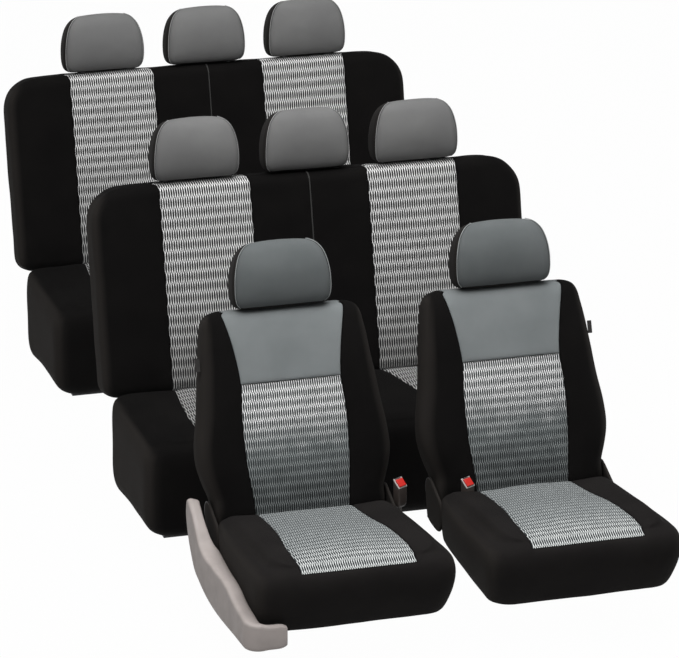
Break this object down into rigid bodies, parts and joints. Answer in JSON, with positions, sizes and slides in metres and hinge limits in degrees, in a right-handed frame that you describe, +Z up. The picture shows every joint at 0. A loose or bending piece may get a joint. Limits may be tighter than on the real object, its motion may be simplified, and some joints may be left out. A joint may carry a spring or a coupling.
{
  "type": "vehicle seat cover set",
  "caption": "Cloth seat cover set fitted on two front bucket seats and two bench rows, with headrests that slide, backs that recline and fold, and belt buckles.",
  "frame": {"origin": "on the floor, at the middle of the set's footprint", "axes": "+X to the right of the vehicle, +Y to its rear, +Z up; the seats face -Y"},
  "size_m": [1.262, 2.8351, 1.0084],
  "materials": {
    "black_cloth": "matt flat woven cloth, foam backed",
    "front_grey_cloth": "soft brushed flat cloth",
    "bench_grey_cloth": "soft brushed flat cloth",
    "mesh_cloth": "air mesh with rows of slits",
    "seat_foam": "moulded open-cell foam",
    "frame_steel": "black powder coat",
    "shield_plastic": "fine-grained moulded trim",
    "buckle_plastic": "moulded",
    "button_plastic": "moulded"
  },
  "bodies": {
    "root": {"front_left_stand": "frame_steel", "front_right_stand": "frame_steel", "second_row_base": "frame_steel", "second_row_hinge_brackets": "frame_steel", "second_row_cushion_cover": "black_cloth", "second_row_cushion_inserts": "mesh_cloth", "second_row_cushion_foam": "seat_foam", "third_row_base": "frame_steel", "third_row_hinge_brackets": "frame_steel", "third_row_cushion_cover": "black_cloth", "third_row_cushion_inserts": "mesh_cloth", "third_row_cushion_foam": "seat_foam"},
    "front_left_seat": {"front_left_seat_frame": "frame_steel", "front_left_cushion_cover": "black_cloth", "front_left_cushion_insert": "mesh_cloth", "front_left_cushion_foam": "seat_foam", "front_left_side_shield": "shield_plastic"},
    "front_left_back": {"front_left_back_cover": "black_cloth", "front_left_back_yoke": "front_grey_cloth", "front_left_back_insert": "mesh_cloth", "front_left_back_foam": "seat_foam", "front_left_back_frame": "frame_steel"},
    "front_left_headrest": {"front_left_headrest_cover": "front_grey_cloth", "front_left_headrest_core": "seat_foam"},
    "front_left_buckle": {"front_left_buckle": "buckle_plastic"},
    "front_left_button": {"front_left_buckle_button": "button_plastic"},
    "front_right_seat": {"front_right_seat_frame": "frame_steel", "front_right_cushion_cover": "black_cloth", "front_right_cushion_insert": "mesh_cloth", "front_right_cushion_foam": "seat_foam"},
    "front_right_back": {"front_right_back_cover": "black_cloth", "front_right_back_yoke": "front_grey_cloth", "front_right_back_insert": "mesh_cloth", "front_right_back_foam": "seat_foam", "front_right_back_frame": "frame_steel"},
    "front_right_headrest": {"front_right_headrest_cover": "front_grey_cloth", "front_right_headrest_core": "seat_foam"},
    "front_right_buckle": {"front_right_buckle": "buckle_plastic"},
    "front_right_button": {"front_right_buckle_button": "button_plastic"},
    "second_row_back": {"second_row_back_cover": "black_cloth", "second_row_back_inserts": "mesh_cloth", "second_row_back_foam": "seat_foam", "second_row_back_frame": "frame_steel"},
    "second_row_left_headrest": {"second_row_left_headrest_cover": "bench_grey_cloth", "second_row_left_headrest_core": "seat_foam"},
    "second_row_middle_headrest": {"second_row_middle_headrest_cover": "bench_grey_cloth", "second_row_middle_headrest_core": "seat_foam"},
    "second_row_right_headrest": {"second_row_right_headrest_cover": "bench_grey_cloth", "second_row_right_headrest_core": "seat_foam"},
    "third_row_back": {"third_row_back_cover": "black_cloth", "third_row_back_inserts": "mesh_cloth", "third_row_back_foam": "seat_foam", "third_row_back_frame": "frame_steel"},
    "third_row_left_headrest": {"third_row_left_headrest_cover": "bench_grey_cloth", "third_row_left_headrest_core": "seat_foam"},
    "third_row_middle_headrest": {"third_row_middle_headrest_cover": "bench_grey_cloth", "third_row_middle_headrest_core": "seat_foam"},
    "third_row_right_headrest": {"third_row_right_headrest_cover": "bench_grey_cloth", "third_row_right_headrest_core": "seat_foam"}
  },
  "joints": [
    {"name": "front_left_seat_slide", "type": "slide", "parent": "root", "child": "front_left_seat", "axis": [0, -1, 0], "range_m": [-0.1, 0.12]},
    {"name": "front_left_recline", "type": "hinge", "parent": "front_left_seat", "child": "front_left_back", "pos_m": [-0.304, -0.8176, 0.236], "axis": [1, 0, 0], "range_deg": [-25, 12]},
    {"name": "front_left_headrest_height", "type": "slide", "parent": "front_left_back", "child": "front_left_headrest", "axis": [0, 0.3338, 0.9426], "range_m": [0, 0.06]},
    {"name": "front_left_buckle_sway", "type": "hinge", "parent": "front_left_seat", "child": "front_left_buckle", "pos_m": [-0.034, -0.8596, 0.179], "axis": [1, 0, 0], "range_deg": [-6, 6]},
    {"name": "front_left_buckle_press", "type": "slide", "parent": "front_left_buckle", "child": "front_left_button", "axis": [0, 0, -1], "range_m": [0, 0.004], "stiffness_N_per_m": 1200, "springref_m": -0.001},
    {"name": "front_right_seat_slide", "type": "slide", "parent": "root", "child": "front_right_seat", "axis": [0, -1, 0], "range_m": [-0.1, 0.12]},
    {"name": "front_right_recline", "type": "hinge", "parent": "front_right_seat", "child": "front_right_back", "pos_m": [0.304, -0.8176, 0.236], "axis": [1, 0, 0], "range_deg": [-25, 12]},
    {"name": "front_right_headrest_height", "type": "slide", "parent": "front_right_back", "child": "front_right_headrest", "axis": [0, 0.3338, 0.9426], "range_m": [0, 0.06]},
    {"name": "front_right_buckle_sway", "type": "hinge", "parent": "front_right_seat", "child": "front_right_buckle", "pos_m": [0.139, -0.9056, 0.179], "axis": [1, 0, 0], "range_deg": [-6, 6]},
    {"name": "front_right_buckle_press", "type": "slide", "parent": "front_right_buckle", "child": "front_right_button", "axis": [0, 0, -1], "range_m": [0, 0.004], "stiffness_N_per_m": 1200, "springref_m": -0.001},
    {"name": "second_row_back_fold", "type": "hinge", "parent": "root", "child": "second_row_back", "pos_m": [0, 0.09847, 0.36205], "axis": [1, 0, 0], "range_deg": [0, 100]},
    {"name": "second_row_left_headrest_height", "type": "slide", "parent": "second_row_back", "child": "second_row_left_headrest", "axis": [0, 0.2334, 0.9724], "range_m": [0, 0.06]},
    {"name": "second_row_middle_headrest_height", "type": "slide", "parent": "second_row_back", "child": "second_row_middle_headrest", "axis": [0, 0.2334, 0.9724], "range_m": [0, 0.06]},
    {"name": "second_row_right_headrest_height", "type": "slide", "parent": "second_row_back", "child": "second_row_right_headrest", "axis": [0, 0.2334, 0.9724], "range_m": [0, 0.06]},
    {"name": "third_row_back_fold", "type": "hinge", "parent": "root", "child": "third_row_back", "pos_m": [0, 1.24847, 0.36205], "axis": [1, 0, 0], "range_deg": [0, 100]},
    {"name": "third_row_left_headrest_height", "type": "slide", "parent": "third_row_back", "child": "third_row_left_headrest", "axis": [0, 0.2334, 0.9724], "range_m": [0, 0.06]},
    {"name": "third_row_middle_headrest_height", "type": "slide", "parent": "third_row_back", "child": "third_row_middle_headrest", "axis": [0, 0.2334, 0.9724], "range_m": [0, 0.06]},
    {"name": "third_row_right_headrest_height", "type": "slide", "parent": "third_row_back", "child": "third_row_right_headrest", "axis": [0, 0.2334, 0.9724], "range_m": [0, 0.06]}
  ]
}
